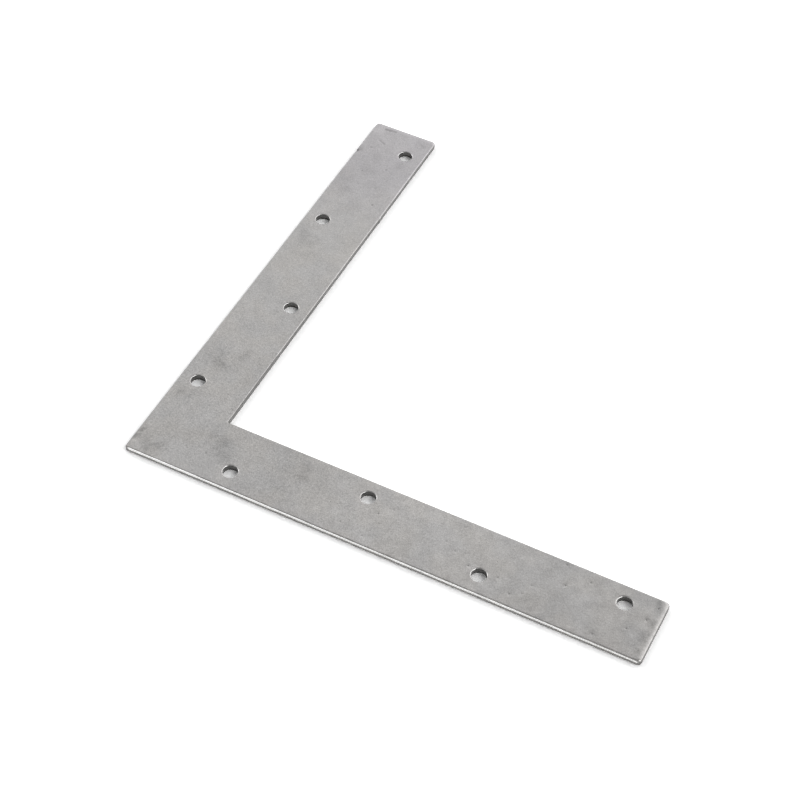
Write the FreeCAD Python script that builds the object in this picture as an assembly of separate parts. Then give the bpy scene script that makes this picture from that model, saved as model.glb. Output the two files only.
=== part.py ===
"""Flat corner plate: an L punched from steel sheet, with screw holes along both arms.

Lengths are in millimetres. The plate lies on its back face at z = 0, with its front
face on top. The origin is on the back face, where the centrelines of the two arms
cross. One arm runs along +X and the other along +Y, and the plate is the same on both
sides of the diagonal between them.
"""

import FreeCAD
import Part
import math
import os
from typing import NamedTuple

# Outline, with lengths along an arm measured from the outer corner
arm_length = 150.0
arm_width = 20.3
thickness = 2.0
outer_corner_radius = 0.4
inner_corner_radius = 0.3
tip_corner_radius = 1.2

# Screw holes, which zigzag along each arm between two rows
hole_diameter = 4.2
holes_per_arm = 4
first_hole_from_corner = 29.5
last_hole_from_tip = 10.5
hole_row_from_edge = 5.5

# Sheared edge round the outline, with its heights as shares of the thickness
edge_roll_width = 0.3
edge_roll_share = 0.2
edge_land_share = 0.35
edge_torn_lean = 0.05
edge_back_chamfer = 0.1

# Wider roll across both tips, where the strip was cropped to length
tip_roll_width = 1.7
tip_roll_share = 0.25

# Sheared edge in each hole, with its heights as shares of the thickness
hole_roll_width = 0.25
hole_roll_share = 0.1
hole_land_share = 0.55
hole_torn_lean = 0.05
hole_back_chamfer = 0.1

# The roll can't be wider than this share of a corner's radius and still turn it
roll_share_of_corner = 0.9

ARM_X = FreeCAD.Vector(1, 0, 0)
ARM_Y = FreeCAD.Vector(0, 1, 0)
UP = FreeCAD.Vector(0, 0, 1)
ORIGIN = FreeCAD.Vector(0, 0, 0)


class Shear(NamedTuple):
    """A sheared edge from the front face down: a roll, an upright land and a torn band."""

    roll_width: float
    roll_share: float
    land_share: float
    torn_lean: float
    back_chamfer: float


def straight_edges(points):
    """Straight edges from each point to the next."""
    return [Part.LineSegment(a, b).toShape() for a, b in zip(points, points[1:])]


def quarter_ellipse(centre, one, other):
    """The quarter of an ellipse about centre, from centre + one to centre + other."""
    longer, shorter = sorted((one, other), key=lambda half: half.Length, reverse=True)
    ellipse = Part.Ellipse(centre, longer.Length, shorter.Length)
    ellipse.Axis = longer.cross(shorter)
    ellipse.XAxis = longer
    return ellipse.toShape(0, math.pi / 2)


def corner_arc(before, corner, after, radius):
    """Start, middle and end of the arc that rounds a corner between two points."""
    back = (before - corner).normalize()
    ahead = (after - corner).normalize()
    half_angle = back.getAngle(ahead) / 2
    to_tangent = radius / math.tan(half_angle)
    to_arc = radius / math.sin(half_angle) - radius
    bisector = (back + ahead).normalize()
    return corner + back * to_tangent, corner + bisector * to_arc, corner + ahead * to_tangent


def plate_outline():
    """The L seen from the front, as a wire that starts along the outer edge of the X arm."""
    outer = -arm_width / 2
    inner = arm_width / 2
    tip = arm_length - arm_width / 2
    corners = [
        (outer, outer, outer_corner_radius),
        (tip, outer, tip_corner_radius),
        (tip, inner, tip_corner_radius),
        (inner, inner, inner_corner_radius),
        (inner, tip, tip_corner_radius),
        (outer, tip, tip_corner_radius),
    ]
    points = [ARM_X * x + ARM_Y * y for x, y, _ in corners]
    arcs = []
    for i, (_, _, radius) in enumerate(corners):
        after = points[(i + 1) % len(points)]
        arcs.append(corner_arc(points[i - 1], points[i], after, radius))
    edges = []
    for this_arc, next_arc in zip(arcs, arcs[1:] + arcs[:1]):
        edges += straight_edges([this_arc[-1], next_arc[0]])
        edges.append(Part.Arc(*next_arc).toShape())
    return Part.Wire(edges)


def waste_section(wall, outward, reach, shear):
    """Closed section of the metal that a punch takes away beside an edge.

    wall is the point of the back face under the upright land, outward points from the
    plate to the waste, and reach is how far the section runs that way. It runs past
    the front and back faces by the thickness of the plate. The roll is a quarter of an
    ellipse, the torn band leans in under the land, and its foot is chamfered.
    """

    def at(out, height):
        return wall + outward * out + UP * height

    land_top = thickness * (1 - shear.roll_share)
    land_foot = land_top - thickness * shear.land_share
    roll = quarter_ellipse(
        at(-shear.roll_width, land_top),
        outward * shear.roll_width,
        UP * (thickness - land_top),
    )
    back_edge = -shear.torn_lean - shear.back_chamfer
    sides = straight_edges(
        [
            at(0, land_top),
            at(0, land_foot),
            at(-shear.torn_lean, shear.back_chamfer),
            at(back_edge, 0),
            at(back_edge, -thickness),
            at(reach, -thickness),
            at(reach, thickness + thickness),
            at(-shear.roll_width, thickness + thickness),
            at(-shear.roll_width, thickness),
        ]
    )
    return Part.Wire([roll, *sides])


def outline_tool(outline):
    """The waste section swept round the outline."""
    turning_room = roll_share_of_corner * min(outer_corner_radius, tip_corner_radius)
    shear = Shear(
        min(edge_roll_width, turning_room),
        edge_roll_share,
        edge_land_share,
        edge_torn_lean,
        edge_back_chamfer,
    )
    start = outline.Edges[0].firstVertex().Point
    sweep = Part.BRepOffsetAPI.MakePipeShell(outline)
    sweep.setBiNormalMode(UP)
    sweep.add(waste_section(start, -ARM_Y, inner_corner_radius / 2, shear))
    sweep.build()
    sweep.makeSolid()
    return sweep.shape()


def tip_tool():
    """Waste above the wide roll across the tip of the X arm."""
    tip = arm_length - arm_width / 2
    drop = thickness * tip_roll_share

    def at(beyond, height):
        return ARM_X * (tip + beyond) - ARM_Y * arm_width + UP * height

    roll = quarter_ellipse(
        at(-tip_roll_width, thickness - drop), ARM_X * tip_roll_width, UP * drop
    )
    sides = straight_edges(
        [
            at(0, thickness - drop),
            at(thickness, thickness - drop),
            at(thickness, thickness + thickness),
            at(-tip_roll_width, thickness + thickness),
            at(-tip_roll_width, thickness),
        ]
    )
    section = Part.Wire([roll, *sides])
    return Part.Face(section).extrude(ARM_Y * (arm_width + arm_width))


def hole_tool(centre):
    """The waste section turned about a hole's axis."""
    shear = Shear(
        hole_roll_width, hole_roll_share, hole_land_share, hole_torn_lean, hole_back_chamfer
    )
    radius = hole_diameter / 2
    section = waste_section(centre + ARM_X * radius, -ARM_X, radius, shear)
    return Part.Face(section).revolve(centre, UP, 360)


def hole_centres():
    """Centres of the holes in both arms, with the first on the row by the outer edge."""
    first = first_hole_from_corner - arm_width / 2
    last = arm_length - arm_width / 2 - last_hole_from_tip
    pitch = (last - first) / (holes_per_arm - 1)
    row = arm_width / 2 - hole_row_from_edge
    centres = []
    for i in range(holes_per_arm):
        along = first + i * pitch
        across = row if i % 2 else -row
        centres.append(ARM_X * along + ARM_Y * across)
        centres.append(ARM_X * across + ARM_Y * along)
    return centres


def corner_plate():
    """The finished plate."""
    outline = plate_outline()
    blank = Part.Face(outline).extrude(UP * thickness)
    x_tip = tip_tool()
    y_tip = x_tip.mirror(ORIGIN, ARM_X - ARM_Y)
    hole_tools = [hole_tool(centre) for centre in hole_centres()]
    return blank.cut([outline_tool(outline), x_tip, y_tip, *hole_tools])


def main():
    os.makedirs("parts", exist_ok=True)
    plate = corner_plate()
    plate.exportStep("parts/corner_plate.step")
    print(f"corner_plate: {plate.Volume:.1f} mm3, {len(plate.Faces)} faces")


main()
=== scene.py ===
"""Looks of the flat corner plate: tumbled steel, lying on a plain white floor.

Plate sizes are in millimetres and are scaled to metres where a mesh is made. They are in
the plate's own frame: its back face lies at z = 0, and its arms run along +X and +Y from
the corner, where their centrelines cross at the origin.
"""

import math
import random
from typing import NamedTuple

import bpy
from mathutils import Matrix, Vector, noise
from mathutils.geometry import delaunay_2d_cdt


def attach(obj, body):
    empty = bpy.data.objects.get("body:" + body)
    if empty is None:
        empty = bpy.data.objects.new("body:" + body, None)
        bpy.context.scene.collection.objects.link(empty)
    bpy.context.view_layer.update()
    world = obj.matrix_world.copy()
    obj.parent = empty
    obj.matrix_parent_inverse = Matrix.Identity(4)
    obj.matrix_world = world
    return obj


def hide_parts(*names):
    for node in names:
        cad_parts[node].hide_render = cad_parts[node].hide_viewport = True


MM = 0.001

# Camera, with the nearest and the farthest that it sees in metres
camera_place = Vector((201.678, -292.291, 418.539)) * MM
camera_target = Vector((47.984, 39.245, 2.0)) * MM
camera_roll_deg = 2.3513
lens_mm = 90.389
sensor_mm = 36.0
nearest_seen = 0.01
farthest_seen = 100.0

# Plate, as the solid has it
arm_length = 150.0
arm_width = 20.3
thickness = 2.0
outer_corner_radius = 0.4
inner_corner_radius = 0.3
tip_corner_radius = 1.2
hole_radius = 2.1
holes_per_arm = 4
first_hole_from_corner = 29.5
last_hole_from_tip = 10.5
hole_row_from_edge = 5.5
edge_roll = 0.3
edge_roll_drop = 0.4
tip_roll = 1.7
tip_roll_drop = 0.5
hole_roll = 0.25
hole_roll_drop = 0.2
torn_lean = 0.05
back_chamfer = 0.1

# Where the sides and the tip of each arm lie
outer_side = -arm_width / 2
inner_side = arm_width / 2
tip_end = arm_length - arm_width / 2

# Burnished land of the edges and of the holes, as heights above the back face
edge_land_top = 1.58
edge_land_foot = 1.05
hole_land_top = 1.78
hole_land_foot = 0.7

# Inner line of the roll where it turns from the edge's narrow one to the tip's wide one
roll_round_tip = 0.8

# Roll of each hole, X and Y arm in turn from the corner: how much wider it is on the side
# that the punch leaned to, and the least that it is
hole_roll_lean = (0.15, 0.15, 0.15, 0.2, 0.2, 0.1, 0.35, 0.15)
hole_lean_azimuth_deg = 145.0
least_hole_roll = 0.1

# Mesh of the edge: band_seam is the height in which one band's finish gives way to the
# next, and flat_rim is a level strip beside each roll that keeps its shading off the face
station_gap = 0.5
corner_steps = 10
hole_steps = 72
roll_steps = 8
torn_steps = 3
band_seam = 0.01
flat_rim = 0.05
sharp_angle_deg = 35

# Mesh of the faces: a slightly uneven grid, which keeps this many radii clear of each
# dent, and circles of points round each dent, which keep this far from the edges
front_grid = 1.0
back_grid = 3.0
grid_jitter = 0.2
grid_seed = 5
clear_radii = 1.5
dent_spokes = 8
dent_circles = (0.5, 1.0)
dent_room = 0.5
merge_distance = 1e-5

# Unevenness of the sheared edge
wave_size = 9.0
edge_wave = 0.03
land_wave = 0.16
foot_ripple = land_wave / 3
tear_size = 0.6
tear_depth = 0.04
ripple_size = tear_size * 3

# Finish of each edge, from the X arm's outer edge round to the Y arm's outer edge: how burnished
# its land is, the tilt of its roll from which it looks as its land does, and how polished the roll
# is before that. Beyond that tilt the unburnished share of the roll is a painted dark band,
# painted shade that stands in for a dark reflection
edge_burnish = (1.0, 0.1, 0.2, 0.1, 0.2, 0.1)
edge_change_deg = (60, 27, 16, 45, 28, 10)
edge_polish = (0.0, 0.3, 0.0, 0.4, 0.0, 0.0)
polish_full_deg = 27
polish_onset = 4

# A burnished edge fades this near to a corner, which paints shade on the corner, has a painted
# dark band on its roll from this tilt up to its land, which stands in for a dark reflection, and
# is only this much darkened by the torn band, partly painted shade, under the land
corner_shade_reach = 1.2
shade_band_deg = 33
shade_band_share = 0.5
torn_under_burnish = 0.6

# Finish of the holes, whose walls are much darker than the edges' as painted shade inside them,
# and whose rolls are fully polished where they are this wide
bore_burnish = 1.0
bore_change_deg = 60
bore_polish = 1.0
bore_polish_roll = 0.4

# Shares of each finish that the mesh carries at every point; the dark band, the torn band, the
# holes' walls and a strip across the X tip carry painted shade
finishes = ("land", "torn", "shade_band", "bore", "polish", "soil")

# Colours of the face where it is warm, where it is cool and at the end of the Y arm, of the
# finishes along the edges, and of the same finishes inside the holes. The dark band is painted
# shade, the torn band partly torn steel and partly painted shade, and the holes' walls painted
# shade
warm_steel = (0.511, 0.497, 0.483, 1)
cool_steel = (0.498, 0.490, 0.485, 1)
bluish_steel = (0.486, 0.471, 0.487, 1)
polish_colour = (0.85, 0.84, 0.83, 1)
land_colour = (0.95, 0.945, 0.935, 1)
torn_colour = (0.21, 0.205, 0.2, 1)
shade_band_colour = (0.16, 0.155, 0.15, 1)
bore_land_shade_colour = (0.15, 0.147, 0.144, 1)
bore_torn_colour = (0.11, 0.107, 0.104, 1)

# Roughness of the face and of the finishes along the edges
face_rough = 0.34
rough_by_mottle = 0.2
rough_by_soil = 0.3
polish_rough = 0.3
land_rough = 0.16
torn_rough = 0.5

# Patches of warm and cool steel, and the noise over which one turns into the other
tint_size = 9.0
tint_change = 0.15

# Slow changes along the arms, as where each starts and where it is complete: a bluish tint up the
# Y arm, a painted sheen on the middle of the X arm that stands in for the lamps' brighter
# reflection there and is weaker further out, and grain that fades from the corner
bluish_along_y = (85.0, 125.0)
bluish_share = 0.75
painted_sheen_along_x = (30.0, 65.0)
painted_sheen_fade_along_x = (92.0, 112.0)
painted_sheen = 0.135
painted_sheen_far = 0.06
grain_fades_from_corner = (10.0, 130.0)
grain_at_corner = 1.2
grain_at_tips = 0.75

# How much soil, and the painted shade across the X tip, darkens the steel, and how patchy it is
soil_tone = -1.2
soil_patches = 5.0

# Floor and light, with the floor's size in metres: floor_albedo is what the floor gives
# back as light, and floor_seen is what the camera and reflections see, so that it is white
floor_size = 6.0
floor_gap = 0.02 * MM
floor_albedo = 0.92
floor_seen = 1.52
ambient = 0.19


class Grain(NamedTuple):
    """Noise in the steel, by the size of its patches and what it adds to tone and height."""

    size: float
    detail: float
    rough: float
    tone: float
    height: float = 0.0


class Spots(NamedTuple):
    """Round spots in a share of the cells of a net, and what they add to tone and height."""

    cell: float
    share: float
    radius: float
    tone: float
    height: float = 0.0


clouds = Grain(size=14.0, detail=3.0, rough=0.5, tone=0.25)
mottle = Grain(size=3.0, detail=4.0, rough=0.6, tone=0.35, height=0.02)
grain = Grain(size=0.7, detail=2.0, rough=0.7, tone=0.5, height=0.02)
dust = Grain(size=0.28, detail=0.0, rough=0.5, tone=0.6, height=0.006)
specks = Spots(cell=1.9, share=0.3, radius=0.17, tone=-0.4, height=-0.02)
flecks = Spots(cell=2.7, share=0.25, radius=0.2, tone=0.12)
spot_core = 0.4


class Panel(NamedTuple):
    """A round soft light, by where the plate sees its centre, in degrees."""

    azimuth: float
    elevation: float
    radius: float
    softness: float
    strength: float


panels = [
    Panel(azimuth=137, elevation=11, radius=48, softness=5, strength=0.72),
    Panel(azimuth=63, elevation=26, radius=33, softness=10, strength=1.23),
    Panel(azimuth=357, elevation=44, radius=15, softness=4, strength=4.0),
    Panel(azimuth=172, elevation=24, radius=20, softness=5, strength=2.4),
    Panel(azimuth=222, elevation=54, radius=10, softness=5, strength=1.5),
]


class Mark(NamedTuple):
    """A dent, a stain or a strip of painted shade, drawn out along a run if it has one.

    A depth below 0 is a burr on an edge, and a darkening below 0 is a bright spot.
    """

    x: float
    y: float
    radius: float
    depth: float = 0.0
    soil: float = 0.0
    run_x: float = 0.0
    run_y: float = 0.0


soft_clouds_and_tip_shade = [
    Mark(-2.8, 28.7, radius=5.0, soil=0.12),
    Mark(2.0, 33.4, radius=3.5, soil=0.10),
    Mark(-6.4, 14.1, radius=4.0, soil=0.11),
    Mark(-3.9, -5.8, radius=5.0, soil=0.12),
    Mark(11.7, 2.1, radius=5.0, soil=0.09),
    Mark(15.3, -0.4, radius=4.0, soil=0.08),
    Mark(36.2, 3.3, radius=4.5, soil=0.09),
    Mark(-5.7, 107.6, radius=2.5, soil=0.07),
    Mark(-5.0, 84.0, radius=6.0, soil=0.05),
    Mark(4.8, 111.8, radius=5.0, soil=0.06),
    Mark(135.0, -6.0, radius=3.0, soil=0.06),
    # Painted shade across the X tip's wide roll, which stands in for its darker reflection where
    # it starts to turn
    Mark(137.8, -7.0, radius=2.1, soil=0.12, run_y=14.0),
    Mark(-8.3, -7.4, radius=1.5, soil=-0.15),
    Mark(-8.1, 136.5, radius=3.0, soil=-0.14),
    Mark(8.0, 136.0, radius=2.0, soil=-0.06),
]
dark_smears = [
    Mark(-9.6, -6.2, radius=0.6, soil=0.25, run_x=0.7, run_y=3.8),
    Mark(-9.2, 126.3, radius=1.8, soil=0.16),
    Mark(5.4, 136.6, radius=1.1, soil=0.14, run_x=2.5, run_y=-0.6),
    Mark(5.0, 124.9, radius=1.8, soil=0.10),
    Mark(9.1, 122.2, radius=1.2, soil=0.12),
    Mark(138.1, -6.5, radius=1.1, soil=0.14),
    Mark(137.2, 9.1, radius=0.8, soil=0.16),
]
nicks = [
    Mark(-9.8, 125.0, radius=0.8, depth=0.25, soil=0.45),
    Mark(-6.6, 128.0, radius=0.6, depth=0.04, soil=0.25),
    Mark(-5.6, 132.2, radius=0.4, depth=0.04, soil=0.25, run_x=1.9, run_y=-0.9),
    Mark(-6.3, 137.7, radius=0.5, depth=0.06, soil=0.4, run_x=3.4, run_y=0.2),
    Mark(10.15, 101.3, radius=0.7, depth=-0.2),
]
pit_radius = 0.35
pit_depth = 0.04
pit_soil = 0.32
pit_places = [
    (-4.2, 117.3), (2.2, 121.0), (-8.2, 103.0), (5.5, 105.1), (9.2, 14.5), (8.0, 20.0),
    (5.3, 18.8), (9.0, 3.0), (4.9, -2.8), (10.4, -2.2),
    (53.1, -5.9), (60.3, -7.4), (60.8, 1.1), (63.9, 4.1), (76.7, 7.9), (80.6, 1.2),
    (83.9, -0.6), (89.0, -3.3), (97.4, -3.2), (102.0, -6.5), (104.8, -4.9), (106.0, -1.4),
    (111.5, 8.9), (113.7, 2.7), (119.2, 6.5), (125.6, -8.0), (132.6, -2.4), (136.2, 2.4),
    (137.7, 7.1),
]
pits = [Mark(x, y, pit_radius, pit_depth, pit_soil) for x, y in pit_places]
marks = soft_clouds_and_tip_shade + dark_smears + nicks + pits


class Nodes:
    """A short way to write a node tree: most calls make nodes and give their output."""

    def __init__(self, tree):
        self.tree = tree
        tree.nodes.clear()

    def add(self, kind, **settings):
        node = self.tree.nodes.new(kind)
        for name, value in settings.items():
            setattr(node, name, value)
        return node

    def put(self, socket, value):
        """Links value to the socket if it is a socket, and otherwise sets it."""
        if isinstance(value, bpy.types.NodeSocket):
            self.tree.links.new(value, socket)
        else:
            socket.default_value = value

    def math(self, operation, *values):
        node = self.add("ShaderNodeMath", operation=operation)
        for socket, value in zip(node.inputs, values):
            self.put(socket, value)
        return node.outputs[0]

    def total(self, *values):
        """The sum of any number of values."""
        result = values[0]
        for value in values[1:]:
            result = self.math("ADD", result, value)
        return result

    def step(self, value, low, high):
        """0 at low and 1 at high, with a soft change between them."""
        node = self.add("ShaderNodeMapRange", interpolation_type="SMOOTHSTEP")
        self.put(node.inputs["Value"], value)
        self.put(node.inputs["From Min"], low)
        self.put(node.inputs["From Max"], high)
        return node.outputs[0]

    def mix(self, share, low, high):
        """low where share is 0 and high where it is 1, for numbers."""
        node = self.add("ShaderNodeMix", data_type="FLOAT")
        self.put(node.inputs[0], share)
        self.put(node.inputs[2], low)
        self.put(node.inputs[3], high)
        return node.outputs[0]

    def blend(self, share, low, high):
        """low where share is 0 and high where it is 1, for colours."""
        node = self.add("ShaderNodeMix", data_type="RGBA")
        self.put(node.inputs[0], share)
        self.put(node.inputs[6], low)
        self.put(node.inputs[7], high)
        return node.outputs[2]

    def scaled(self, vector, factor):
        """A vector or colour times a number."""
        node = self.add("ShaderNodeVectorMath", operation="SCALE")
        self.put(node.inputs[0], vector)
        self.put(node.inputs["Scale"], factor)
        return node.outputs[0]

    def noise(self, place, size, detail, rough):
        """Soft noise about 0, with features of the given size."""
        node = self.add("ShaderNodeTexNoise")
        self.put(node.inputs["Vector"], place)
        self.put(node.inputs["Scale"], 1 / size)
        self.put(node.inputs["Detail"], detail)
        self.put(node.inputs["Roughness"], rough)
        return self.math("SUBTRACT", node.outputs[0], 0.5)

    def grain(self, place, pattern):
        """The noise of one of the steel's kinds of grain."""
        return self.noise(place, pattern.size, pattern.detail, pattern.rough)

    def spots(self, place, pattern):
        """1 in each of the pattern's spots, 0 elsewhere, and soft round their cores."""
        cells = self.add("ShaderNodeTexVoronoi")
        self.put(cells.inputs["Vector"], place)
        self.put(cells.inputs["Scale"], 1 / pattern.cell)
        rim = pattern.radius / pattern.cell
        inside = self.step(cells.outputs["Distance"], rim, spot_core * rim)
        picked = self.add("ShaderNodeSeparateColor")
        self.put(picked.inputs[0], cells.outputs["Color"])
        chosen = self.math("LESS_THAN", picked.outputs[0], pattern.share)
        return self.math("MULTIPLY", inside, chosen)

    def attribute(self, name):
        return self.add("ShaderNodeAttribute", attribute_name=name).outputs["Fac"]


def toward(azimuth, elevation):
    """The direction of a point that is seen at that azimuth and elevation, in degrees."""
    flat = math.cos(math.radians(elevation))
    turn = math.radians(azimuth)
    return flat * math.cos(turn), flat * math.sin(turn), math.sin(math.radians(elevation))


def make_camera():
    """The camera at the photograph's viewing angle."""
    data = bpy.data.cameras.new("camera")
    data.lens = lens_mm
    data.sensor_width = sensor_mm
    data.clip_start = nearest_seen
    data.clip_end = farthest_seen
    camera = bpy.data.objects.new("camera", data)
    bpy.context.scene.collection.objects.link(camera)
    look = (camera_target - camera_place).to_track_quat("-Z", "Y")
    roll = Matrix.Rotation(math.radians(camera_roll_deg), 4, "Z")
    camera.matrix_world = Matrix.Translation(camera_place) @ look.to_matrix().to_4x4() @ roll
    bpy.context.scene.camera = camera


def make_world():
    """A dim studio with soft panels round it, which shows white behind the floor."""
    world = bpy.data.worlds.new("studio")
    bpy.context.scene.world = world
    world.use_nodes = True
    n = Nodes(world.node_tree)
    direction = n.add("ShaderNodeTexCoord").outputs["Generated"]
    strengths = [ambient]
    for panel in panels:
        dot = n.add("ShaderNodeVectorMath", operation="DOT_PRODUCT")
        n.put(dot.inputs[0], direction)
        n.put(dot.inputs[1], toward(panel.azimuth, panel.elevation))
        dark = math.cos(math.radians(panel.radius + panel.softness))
        lit = math.cos(math.radians(panel.radius - panel.softness))
        inside = n.step(dot.outputs["Value"], dark, lit)
        strengths.append(n.math("MULTIPLY", inside, panel.strength))
    studio = n.add("ShaderNodeBackground")
    n.put(studio.inputs["Strength"], n.total(*strengths))
    n.put(studio.inputs["Color"], (1, 1, 1, 1))
    white = n.add("ShaderNodeBackground")
    n.put(white.inputs["Color"], (1, 1, 1, 1))
    mix = n.add("ShaderNodeMixShader")
    n.put(mix.inputs[0], n.add("ShaderNodeLightPath").outputs["Is Camera Ray"])
    n.put(mix.inputs[1], studio.outputs[0])
    n.put(mix.inputs[2], white.outputs[0])
    n.put(n.add("ShaderNodeOutputWorld").inputs["Surface"], mix.outputs[0])


def make_floor():
    """A floor that shows white where it is fully lit and still keeps the shadow."""
    mesh = bpy.data.meshes.new("floor")
    half = floor_size / 2
    corners = [(-half, -half), (half, -half), (half, half), (-half, half)]
    mesh.from_pydata([(x, y, -floor_gap) for x, y in corners], [], [(0, 1, 2, 3)])
    floor = bpy.data.objects.new("floor", mesh)
    bpy.context.scene.collection.objects.link(floor)
    material = bpy.data.materials.new("floor")
    material.use_nodes = True
    n = Nodes(material.node_tree)
    path = n.add("ShaderNodeLightPath")
    seen = n.math("MAXIMUM", path.outputs["Is Camera Ray"], path.outputs["Is Glossy Ray"])
    seen = n.math("MAXIMUM", seen, path.outputs["Is Transmission Ray"])
    diffuse = n.add("ShaderNodeBsdfDiffuse")
    n.put(diffuse.inputs["Color"], n.mix(seen, floor_albedo, floor_seen))
    n.put(n.add("ShaderNodeOutputMaterial").inputs["Surface"], diffuse.outputs[0])
    mesh.materials.append(material)


class Corner(NamedTuple):
    """A corner of the outline, with the roll and the finish of the edge after it."""

    place: Vector
    radius: float
    roll: float
    drop: float
    burnish: float
    change: float
    polish: float


class Station(NamedTuple):
    """Where a section through the edge stands, with the heights and finish of its bands.

    inner and outer are where its roll starts and where its wall stands.
    """

    inner: Vector
    outer: Vector
    outward: Vector
    drop: float
    land_top: float
    land_foot: float
    burnish: float
    change: float
    polish: float


def plate_corners():
    """The corners of the outline, from the outer corner along the X arm and back."""
    along = (edge_roll, edge_roll_drop)
    across = (tip_roll, tip_roll_drop)
    rounds = [
        (outer_side, outer_side, outer_corner_radius, along),
        (tip_end, outer_side, tip_corner_radius, across),
        (tip_end, inner_side, tip_corner_radius, along),
        (inner_side, inner_side, inner_corner_radius, along),
        (inner_side, tip_end, tip_corner_radius, across),
        (outer_side, tip_end, tip_corner_radius, along),
    ]
    corners = []
    edge_finishes = zip(edge_burnish, edge_change_deg, edge_polish)
    for (x, y, radius, roll), (burnish, change, polish) in zip(rounds, edge_finishes):
        change = math.radians(change)
        corners.append(Corner(Vector((x, y)), radius, *roll, burnish, change, polish))
    return corners


def cross(a, b):
    return a.x * b.y - a.y * b.x


def outward_of(a, b):
    """The direction out of the plate at the edge from a to b."""
    along = (b - a).normalized()
    return Vector((along.y, -along.x))


def roll_turn(before, here, after):
    """The radius at which the inner line of the roll turns the corner here."""
    if cross(here.place - before.place, after.place - here.place) < 0:
        return here.radius + here.roll
    if here.roll != before.roll:
        return roll_round_tip
    return here.radius - here.roll


def ring(corners, insets, radii):
    """Points round the outline moved in by insets, as many whatever the insets are.

    Each point comes with its outward direction, and with the edge that it is on and how
    far it has turned from that edge to the next.
    """
    count = len(corners)
    places = [corner.place for corner in corners]
    outwards = [outward_of(places[i], places[(i + 1) % count]) for i in range(count)]
    arcs = []
    for i in range(count):
        before = outwards[i - 1]
        after = outwards[i]
        corner = places[i] - before * insets[i - 1] - after * insets[i]
        side = math.copysign(1, cross(before, after))
        centre = corner - (before + after) * radii[i] * side
        start = math.atan2(before.y * side, before.x * side)
        arc = []
        for j in range(corner_steps + 1):
            share = j / corner_steps
            turn = start + share * side * math.pi / 2
            spoke = Vector((math.cos(turn), math.sin(turn)))
            arc.append((centre + spoke * radii[i], spoke * side, i - 1, share))
        arcs.append(arc)
    points = []
    for i, arc in enumerate(arcs):
        ahead = arcs[(i + 1) % count][0][0]
        here = arc[-1][0]
        steps = round((places[(i + 1) % count] - places[i]).length / station_gap)
        points += arc
        for j in range(1, steps):
            points.append((here.lerp(ahead, j / steps), outwards[i], i, 0.0))
    return points


def wave(x, y, size, seed):
    """Smooth noise from about -1 to 1 with features of the given size."""
    return noise.noise(Vector((x / size, y / size, seed)))


def between(low, high, share):
    """The value that lies that share of the way from low to high."""
    return low + (high - low) * share


def edge_dent(x, y):
    """How far the edge lies inside its straight line, from its waviness and its nicks."""
    dent = edge_wave * (0.5 + 0.5 * wave(x, y, wave_size, seed=0.0))
    for mark in marks:
        dent += mark_share(mark, x, y) * mark.depth
    return dent


def plate_stations():
    """The sections round the whole outline."""
    corners = plate_corners()
    count = len(corners)
    turns = []
    for i, corner in enumerate(corners):
        turns.append(roll_turn(corners[i - 1], corner, corners[(i + 1) % count]))
    inner_ring = ring(corners, [corner.roll for corner in corners], turns)
    outer_ring = ring(corners, [0] * count, [corner.radius for corner in corners])
    stations = []
    for (inner, _, _, _), (outer, outward, edge, share) in zip(inner_ring, outer_ring):
        here = corners[edge]
        after = corners[(edge + 1) % count]
        drop = between(here.drop, after.drop, share)
        change = between(here.change, after.change, share)
        polish = between(here.polish, after.polish, share)
        to_corner = min((outer - corner.place).length for corner in corners)
        burnish = between(here.burnish, after.burnish, share)
        # Burnish fades towards the corners, which paints shade there: their rolls take the dark
        # band and their land the torn band's dark colour
        burnish *= min(to_corner / corner_shade_reach, 1) ** 2
        top = min(edge_land_top, thickness - drop - band_seam)
        foot = edge_land_foot + land_wave * wave(outer.x, outer.y, wave_size, seed=7.0)
        foot += foot_ripple * wave(outer.x, outer.y, ripple_size, seed=3.0)
        wall = outer - outward * edge_dent(outer.x, outer.y)
        heights = (drop, top, foot)
        stations.append(Station(inner, wall, outward, *heights, burnish, change, polish))
    return stations


def hole_centres():
    """Centres of the holes in both arms, with the first on the row by the outer edge."""
    first = outer_side + first_hole_from_corner
    last = tip_end - last_hole_from_tip
    pitch = (last - first) / (holes_per_arm - 1)
    row = inner_side - hole_row_from_edge
    centres = []
    for i in range(holes_per_arm):
        along = first + i * pitch
        across = row if i % 2 else -row
        centres.append(Vector((along, across)))
        centres.append(Vector((across, along)))
    return centres


def hole_stations(centre, lean):
    """The sections round a hole, which keep the plate on their left as the outline's do."""
    stations = []
    change = math.radians(bore_change_deg)
    widest = math.radians(hole_lean_azimuth_deg)
    for i in range(hole_steps):
        turn = -2 * math.pi * i / hole_steps
        spoke = Vector((math.cos(turn), math.sin(turn)))
        wall = centre + spoke * hole_radius
        foot = hole_land_foot + land_wave * wave(wall.x, wall.y, hole_radius, seed=11.0)
        facing = math.cos(turn - widest)
        roll = max(hole_roll + lean * facing * abs(facing), least_hole_roll)
        inner = centre + spoke * (hole_radius + roll)
        polish = bore_polish * min(roll / bore_polish_roll, 1) ** 2
        heights = (hole_roll_drop, hole_land_top, foot)
        stations.append(Station(inner, wall, -spoke, *heights, bore_burnish, change, polish))
    return stations


def mark_share(mark, x, y):
    """1 in the middle of a mark and 0 outside it."""
    run = Vector((mark.run_x, mark.run_y))
    offset = Vector((x - mark.x, y - mark.y))
    if run.length > 0:
        offset -= run * min(max(offset.dot(run) / run.length_squared, 0), 1)
    near = 1 - (offset.length / mark.radius) ** 2
    return near * near if near > 0 else 0.0


def soil_at(x, y):
    """How much the face is darkened at a point, by soil and by the painted shade across the X tip,
    from all its marks.
    """
    return sum(mark_share(mark, x, y) * mark.soil for mark in marks)


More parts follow.
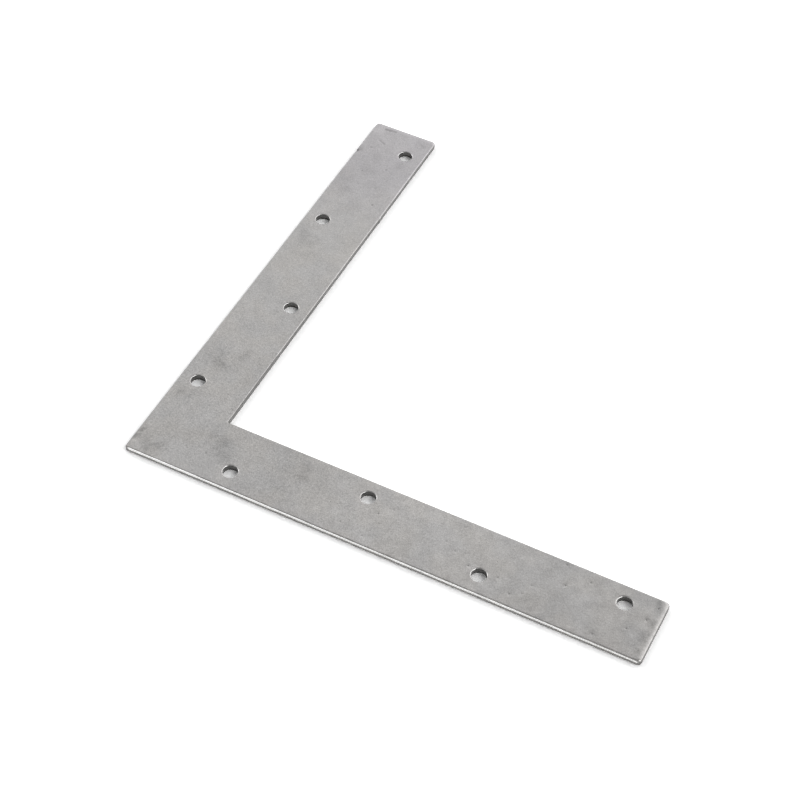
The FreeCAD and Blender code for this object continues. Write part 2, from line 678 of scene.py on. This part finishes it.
def front_height(x, y):
    """The height of the front face, which only its pits and scratches lower."""
    return thickness - sum(mark_share(mark, x, y) * mark.depth for mark in marks if mark.depth > 0)


def room_inside(x, y, holes):
    """How far a point is from the nearest edge of the flat face, and below 0 outside it."""
    in_x_arm = min(x - outer_side, tip_end - x, y - outer_side, inner_side - y)
    in_y_arm = min(x - outer_side, inner_side - x, y - outer_side, tip_end - y)
    from_holes = min((Vector((x, y)) - hole).length for hole in holes) - hole_radius
    return min(max(in_x_arm, in_y_arm), from_holes)


def clear_of_tip(point):
    """Whether a point is on the flat face, short of the wide roll across each tip."""
    limit = tip_end - tip_roll - front_grid / 2
    return point.x < limit and point.y < limit


def near_mark(mark, point):
    """Whether a point is in a mark or close round it."""
    wide = mark._replace(radius=mark.radius * clear_radii)
    return mark_share(wide, point.x, point.y) > 0


def grid_points(gap, holes, margin):
    """A slightly uneven grid of points inside the outline and outside the holes."""
    draw = random.Random(grid_seed)
    points = []
    row = 0
    y = outer_side
    while y < tip_end:
        x = outer_side + (row % 2) * gap / 2
        while x < tip_end:
            px = x + draw.uniform(-grid_jitter, grid_jitter) * gap
            py = y + draw.uniform(-grid_jitter, grid_jitter) * gap
            if room_inside(px, py, holes) > margin:
                points.append(Vector((px, py)))
            x += gap
        y += gap * math.sqrt(3) / 2
        row += 1
    return points


def mark_points(mark):
    """Points along a mark and in two circles round it, close enough to hold its shape."""
    start = Vector((mark.x, mark.y))
    run = Vector((mark.run_x, mark.run_y))
    stops = round(run.length / mark.radius)
    points = []
    for i in range(stops + 1):
        middle = start + run * (i / max(stops, 1))
        points.append(middle)
        for share in dent_circles:
            for k in range(dent_spokes):
                turn = 2 * math.pi / dent_spokes * (k + share)
                spoke = Vector((math.cos(turn), math.sin(turn)))
                points.append(middle + spoke * mark.radius * share)
    return points


def front_points(holes):
    """Points of the front face: a grid, and closer ones where the face is dented."""
    dents = [mark for mark in marks if mark.depth > 0]
    grid = grid_points(front_grid, holes, edge_roll + front_grid / 2)
    grid = [point for point in grid if clear_of_tip(point)]
    grid = [point for point in grid if not any(near_mark(dent, point) for dent in dents)]
    close = [point for dent in dents for point in mark_points(dent)]
    close = [point for point in close if clear_of_tip(point)]
    close = [point for point in close if room_inside(point.x, point.y, holes) > dent_room]
    return grid + close


def left_of(triangles, loop_edges):
    """The triangles that lie on the left of the loops, of those that fill the whole hull."""
    sides = {}
    for triangle in triangles:
        a, b, c = triangle
        sides.update({(a, b): triangle, (b, c): triangle, (c, a): triangle})
    fence = set(loop_edges)
    found = set()
    reached = [sides[edge] for edge in loop_edges]
    while reached:
        triangle = reached.pop()
        if triangle not in found:
            found.add(triangle)
            a, b, c = triangle
            inner = {(a, b), (b, c), (c, a)} - fence
            reached += [sides[(end, start)] for start, end in inner]
    return sorted(found)


def roll_finish(station, tilt, bore):
    """The finish of a roll at a tilt: more and more polished, then a painted dark band of shade,
    then its land's.
    """
    if tilt > station.change:
        return {"land": station.burnish, "shade_band": 1 - station.burnish, "bore": bore}
    polish = station.polish * min(tilt / math.radians(polish_full_deg), 1) ** polish_onset
    # From this tilt the roll is darkened as painted shade, which stands in for a dark reflection
    in_shade_band = tilt > math.radians(shade_band_deg)
    shade_band = shade_band_share * station.burnish * (1 - bore) if in_shade_band else 0.0
    return {"polish": polish, "shade_band": shade_band, "bore": bore}


class Shell:
    """The plate's mesh as it grows, with the share of each finish at every point."""

    def __init__(self):
        self.points = []
        self.faces = []
        self.shares = {name: [] for name in finishes}

    def add_point(self, x, y, z, **shares):
        self.points.append((x * MM, y * MM, z * MM))
        for name, values in self.shares.items():
            values.append(shares.get(name, 0.0))
        return len(self.points) - 1

    def add_section(self, station, bore):
        """The points of one section through the edge, from the front face to the back."""
        across = station.outer - station.inner
        rim = station.inner - across.normalized() * flat_rim
        soil = soil_at(rim.x, rim.y)
        row = [self.add_point(rim.x, rim.y, front_height(rim.x, rim.y), soil=soil)]
        for j in range(roll_steps + 1):
            turn = math.pi / 2 * j / roll_steps
            place = station.inner + across * math.sin(turn)
            z = thickness - station.drop * (1 - math.cos(turn))
            z = min(z, front_height(place.x, place.y))
            tilt = math.atan2(station.drop * math.sin(turn), across.length * math.cos(turn))
            finish = roll_finish(station, tilt, bore)
            soil = soil_at(place.x, place.y)
            row.append(self.add_point(place.x, place.y, z, soil=soil, **finish))
        wall = station.outer
        row.append(self.add_point(wall.x, wall.y, station.land_top, **finish))
        # On the land, the unburnished share takes the torn band's dark colour as painted shade
        finish = {"land": station.burnish, "torn": 1 - station.burnish, "bore": bore}
        for z in (station.land_top - band_seam, station.land_foot):
            row.append(self.add_point(wall.x, wall.y, z, **finish))
        # The torn band below the land is darkened, partly as the torn steel's own dullness and
        # partly as painted shade at the wall's foot, and less under a burnished land
        torn = 1 - station.burnish * (1 - bore) * (1 - torn_under_burnish)
        for j in range(torn_steps + 1):
            share = j / torn_steps
            z = between(station.land_foot - band_seam, back_chamfer, share)
            tear = wave(wall.x + z, wall.y - z, tear_size, seed=2.0)
            rough = tear_depth * (0.5 + 0.5 * tear)
            place = wall - station.outward * (torn_lean * share + rough * min(1, j))
            row.append(self.add_point(place.x, place.y, z, torn=torn, bore=bore))
        place = wall - station.outward * (torn_lean + back_chamfer)
        row.append(self.add_point(place.x, place.y, 0, bore=bore))
        return row

    def add_wall(self, stations, bore):
        """The sheared edge round a loop of stations. Gives its front and back loops."""
        rows = [self.add_section(station, bore) for station in stations]
        for near, far in zip(rows, rows[1:] + rows[:1]):
            for j in range(len(near) - 1):
                self.faces.append((near[j], near[j + 1], far[j + 1], far[j]))
        return [row[0] for row in rows], [row[-1] for row in rows]

    def add_cap(self, loops, extra, height, front):
        """A flat face with the given outline and holes, triangulated through extra points."""
        indices = [index for loop in loops for index in loop]
        flat = [Vector(self.points[index][:2]) / MM for index in indices]
        edges = []
        start = 0
        for loop in loops:
            size = len(loop)
            edges += [(start + i, start + (i + 1) % size) for i in range(size)]
            start += size
        for point in extra:
            soil = soil_at(point.x, point.y) if front else 0.0
            indices.append(self.add_point(point.x, point.y, height(point.x, point.y), soil=soil))
        result = delaunay_2d_cdt(flat + extra, edges, [], 0, merge_distance, True)
        _, _, found, origins, _, _ = result
        triangles = [tuple(indices[origins[i][0]] for i in face) for face in found]
        for corners in left_of(triangles, [(indices[a], indices[b]) for a, b in edges]):
            self.faces.append(corners if front else corners[::-1])

    def make(self, name):
        mesh = bpy.data.meshes.new(name)
        mesh.from_pydata(self.points, [], self.faces)
        for share, values in self.shares.items():
            layer = mesh.attributes.new(share, "FLOAT", "POINT")
            layer.data.foreach_set("value", values)
        mesh.shade_smooth()
        mesh.set_sharp_from_angle(angle=math.radians(sharp_angle_deg))
        made = bpy.data.objects.new(name, mesh)
        bpy.context.scene.collection.objects.link(made)
        return made


def make_plate():
    """The plate's finished surface, in place of the plain solid."""
    shell = Shell()
    holes = hole_centres()
    walls = [shell.add_wall(plate_stations(), bore=0.0)]
    for hole, lean in zip(holes, hole_roll_lean):
        walls.append(shell.add_wall(hole_stations(hole, lean), bore=1.0))
    front_loops = [front for front, _ in walls]
    back_loops = [back for _, back in walls]
    shell.add_cap(front_loops, front_points(holes), front_height, front=True)
    back = grid_points(back_grid, holes, back_chamfer + back_grid / 2)
    shell.add_cap(back_loops, back, lambda x, y: 0.0, front=False)
    return shell.make("plate_surface")


def tone_of(n, patterns, kind):
    """What one kind of grain or spots adds to the tone."""
    return n.math("MULTIPLY", patterns[kind], kind.tone)


def height_of(n, patterns, kind):
    """What one kind of grain or spots adds to the height of the bump."""
    return n.math("MULTIPLY", patterns[kind], kind.height)


def steel_tone(n, place, patterns, soil):
    """How bright the steel is at a place, about 1, from its grain, its soil and the painted shade
    across the X tip.
    """
    from_corner = n.add("ShaderNodeVectorMath", operation="LENGTH")
    n.put(from_corner.inputs[0], place)
    faded = n.step(from_corner.outputs["Value"], *grain_fades_from_corner)
    strength = n.mix(faded, grain_at_corner, grain_at_tips)
    fine = n.total(*[tone_of(n, patterns, kind) for kind in (grain, dust, specks, flecks)])
    patchy = n.total(soil_tone, n.math("MULTIPLY", patterns[mottle], soil_patches))
    return n.total(
        1.0,
        tone_of(n, patterns, clouds),
        tone_of(n, patterns, mottle),
        n.math("MULTIPLY", fine, strength),
        n.math("MULTIPLY", soil, patchy),
    )


def face_colour(n, place):
    """The colour of the face: warm and cool patches, a bluish tint up the Y arm, and a painted
    sheen along the X arm.
    """
    patches = n.noise(place, tint_size, detail=2.0, rough=0.5)
    colour = n.blend(n.step(patches, -tint_change, tint_change), warm_steel, cool_steel)
    along = n.add("ShaderNodeSeparateXYZ")
    n.put(along.inputs[0], place)
    up_y_arm = n.step(along.outputs["Y"], *bluish_along_y)
    colour = n.blend(n.math("MULTIPLY", up_y_arm, bluish_share), colour, bluish_steel)
    # Painted sheen: the X arm's middle is made lighter where the lamps reflect more brightly
    sheen_gain = n.mix(n.step(along.outputs["X"], *painted_sheen_fade_along_x), painted_sheen, painted_sheen_far)
    sheen_gain = n.math("MULTIPLY", n.step(along.outputs["X"], *painted_sheen_along_x), sheen_gain)
    return n.scaled(colour, n.total(1.0, sheen_gain))


def edge_colour(n, colour, share):
    """That colour with the finishes of the edges and holes laid over it, whose dark band, torn
    band and hole walls carry painted shade.
    """
    colour = n.blend(share["polish"], colour, polish_colour)
    colour = n.blend(share["land"], colour, land_colour)
    colour = n.blend(share["torn"], colour, torn_colour)
    colour = n.blend(share["shade_band"], colour, shade_band_colour)
    # Inside the holes the land and the torn band are darkened as painted shade
    bore_land_shade = n.math("MULTIPLY", share["land"], share["bore"])
    bore_torn = n.math("MULTIPLY", share["torn"], share["bore"])
    colour = n.blend(bore_land_shade, colour, bore_land_shade_colour)
    return n.blend(bore_torn, colour, bore_torn_colour)


def roughness(n, patterns, share):
    """The roughness of the face, with the finishes of the edges laid over it."""
    rough = n.total(
        face_rough,
        n.math("MULTIPLY", patterns[mottle], rough_by_mottle),
        n.math("MULTIPLY", share["soil"], rough_by_soil),
    )
    rough = n.mix(share["polish"], rough, polish_rough)
    rough = n.mix(share["land"], rough, land_rough)
    return n.mix(share["torn"], rough, torn_rough)


def steel():
    """Tumbled steel: satin and mottled, pitted here and there, and polished on its edges."""
    material = bpy.data.materials.new("tumbled_steel")
    material.use_nodes = True
    n = Nodes(material.node_tree)
    place = n.scaled(n.add("ShaderNodeTexCoord").outputs["Object"], 1 / MM)
    share = {name: n.attribute(name) for name in finishes}
    patterns = {kind: n.grain(place, kind) for kind in (clouds, mottle, grain, dust)}
    patterns.update({kind: n.spots(place, kind) for kind in (specks, flecks)})
    tone = steel_tone(n, place, patterns, share["soil"])
    colour = edge_colour(n, face_colour(n, place), share)
    shader = n.add("ShaderNodeBsdfPrincipled")
    n.put(shader.inputs["Base Color"], n.scaled(colour, tone))
    n.put(shader.inputs["Metallic"], 1.0)
    n.put(shader.inputs["Roughness"], roughness(n, patterns, share))
    bump = n.add("ShaderNodeBump")
    heights = [height_of(n, patterns, kind) for kind in (dust, grain, mottle, specks)]
    n.put(bump.inputs["Height"], n.total(*heights))
    n.put(bump.inputs["Distance"], MM)
    n.put(shader.inputs["Normal"], bump.outputs[0])
    n.put(n.add("ShaderNodeOutputMaterial").inputs["Surface"], shader.outputs[0])
    return material


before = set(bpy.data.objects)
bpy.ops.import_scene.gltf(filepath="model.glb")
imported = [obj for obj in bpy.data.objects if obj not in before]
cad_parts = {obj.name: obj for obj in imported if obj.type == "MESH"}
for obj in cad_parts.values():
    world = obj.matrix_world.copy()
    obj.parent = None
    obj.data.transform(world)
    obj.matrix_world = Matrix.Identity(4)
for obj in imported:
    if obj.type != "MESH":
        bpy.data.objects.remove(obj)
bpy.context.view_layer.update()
bpy.context.scene.view_settings.view_transform = "Standard"
make_camera()
make_world()
make_floor()
metal = steel()
plate = make_plate()
plate.data.materials.append(metal)
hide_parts("corner_plate")
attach(plate, "root")
for solid_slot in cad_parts["corner_plate"].material_slots:
    solid_slot.material = metal
